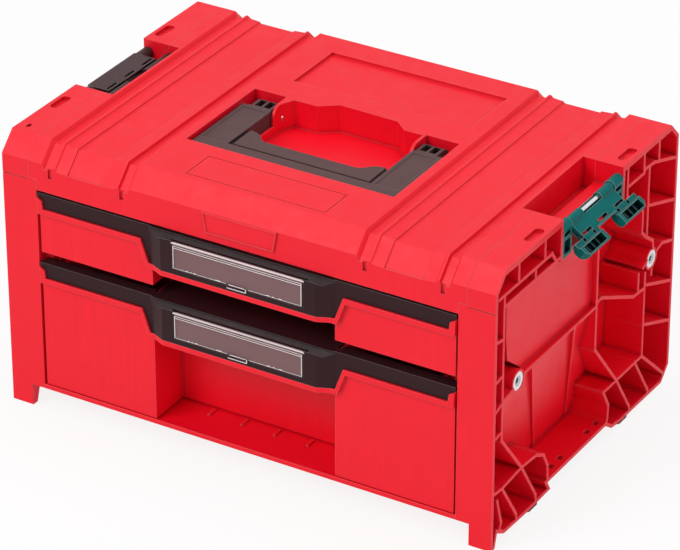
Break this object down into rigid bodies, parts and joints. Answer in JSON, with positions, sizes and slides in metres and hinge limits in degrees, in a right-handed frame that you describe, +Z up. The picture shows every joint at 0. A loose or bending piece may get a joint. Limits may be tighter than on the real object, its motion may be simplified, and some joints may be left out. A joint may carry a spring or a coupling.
{
  "type": "portable tool box with drawers",
  "caption": "Portable stacking tool box with ribbed side panels, sliding drawers with bowed pulls and label windows, a folding carry handle in the deck and hinged side latches.",
  "frame": {"origin": "on the ground, under the middle of the case's width and depth", "axes": "+Z up, +X along the width to the right as seen from the front, -Y out of the drawer fronts"},
  "size_m": [0.4728, 0.3114, 0.244],
  "materials": {
    "body_red": "moulded red plastic with a fine grain",
    "bezel_black": "moulded near-black plastic, satin",
    "handle_brown": "moulded dark brown-grey plastic, satin",
    "latch_teal": "moulded dark teal plastic, glossy",
    "latch_brown": "moulded dark brown plastic, glossy",
    "steel": "bright plated steel",
    "sleeve_white": "white moulded plastic",
    "window_clear": "clear tinted plastic",
    "pad_black": "black rubber"
  },
  "bodies": {
    "case": {"side_panel_left": "body_red", "side_panel_right": "body_red", "runner_plate_left": "body_red", "runner_plate_right": "body_red", "top_cover": "body_red", "rear_panel": "body_red", "base_plate": "body_red", "foot_pads": "pad_black", "side_sleeves": "sleeve_white", "side_screws": "steel", "latch_carrier_left": "latch_brown", "latch_carrier_right": "latch_teal", "latch_pin_left": "steel", "latch_pin_right": "steel", "handle_pins": "steel"},
    "handle": {"handle": "handle_brown"},
    "latch_left": {"latch_left": "latch_brown"},
    "latch_right": {"latch_right": "latch_teal"},
    "upper_drawer": {"upper_tray": "body_red", "upper_bezel": "bezel_black"},
    "upper_window": {"upper_label_window": "window_clear"},
    "lower_drawer": {"lower_tray": "body_red", "lower_bezel": "bezel_black"},
    "lower_window": {"lower_label_window": "window_clear"}
  },
  "joints": [
    {"name": "upper_drawer_slide", "type": "slide", "parent": "case", "child": "upper_drawer", "axis": [0, -1, 0], "range_m": [0, 0.2]},
    {"name": "lower_drawer_slide", "type": "slide", "parent": "case", "child": "lower_drawer", "axis": [0, -1, 0], "range_m": [0, 0.2]},
    {"name": "upper_window_hinge", "type": "hinge", "parent": "upper_drawer", "child": "upper_window", "pos_m": [0, -0.1566, 0.195], "axis": [-1, 0, 0], "range_deg": [0, 90]},
    {"name": "lower_window_hinge", "type": "hinge", "parent": "lower_drawer", "child": "lower_window", "pos_m": [0, -0.1566, 0.1317], "axis": [-1, 0, 0], "range_deg": [0, 90]},
    {"name": "handle_hinge", "type": "hinge", "parent": "case", "child": "handle", "pos_m": [0, 0.012, 0.231], "axis": [-1, 0, 0], "range_deg": [0, 90]},
    {"name": "latch_right_hinge", "type": "hinge", "parent": "case", "child": "latch_right", "pos_m": [0.2205, 0.004, 0.2325], "axis": [0, -1, 0], "range_deg": [0, 215]},
    {"name": "latch_left_hinge", "type": "hinge", "parent": "case", "child": "latch_left", "pos_m": [-0.2205, 0.004, 0.2325], "axis": [0, -1, 0], "range_deg": [0, 215]}
  ]
}
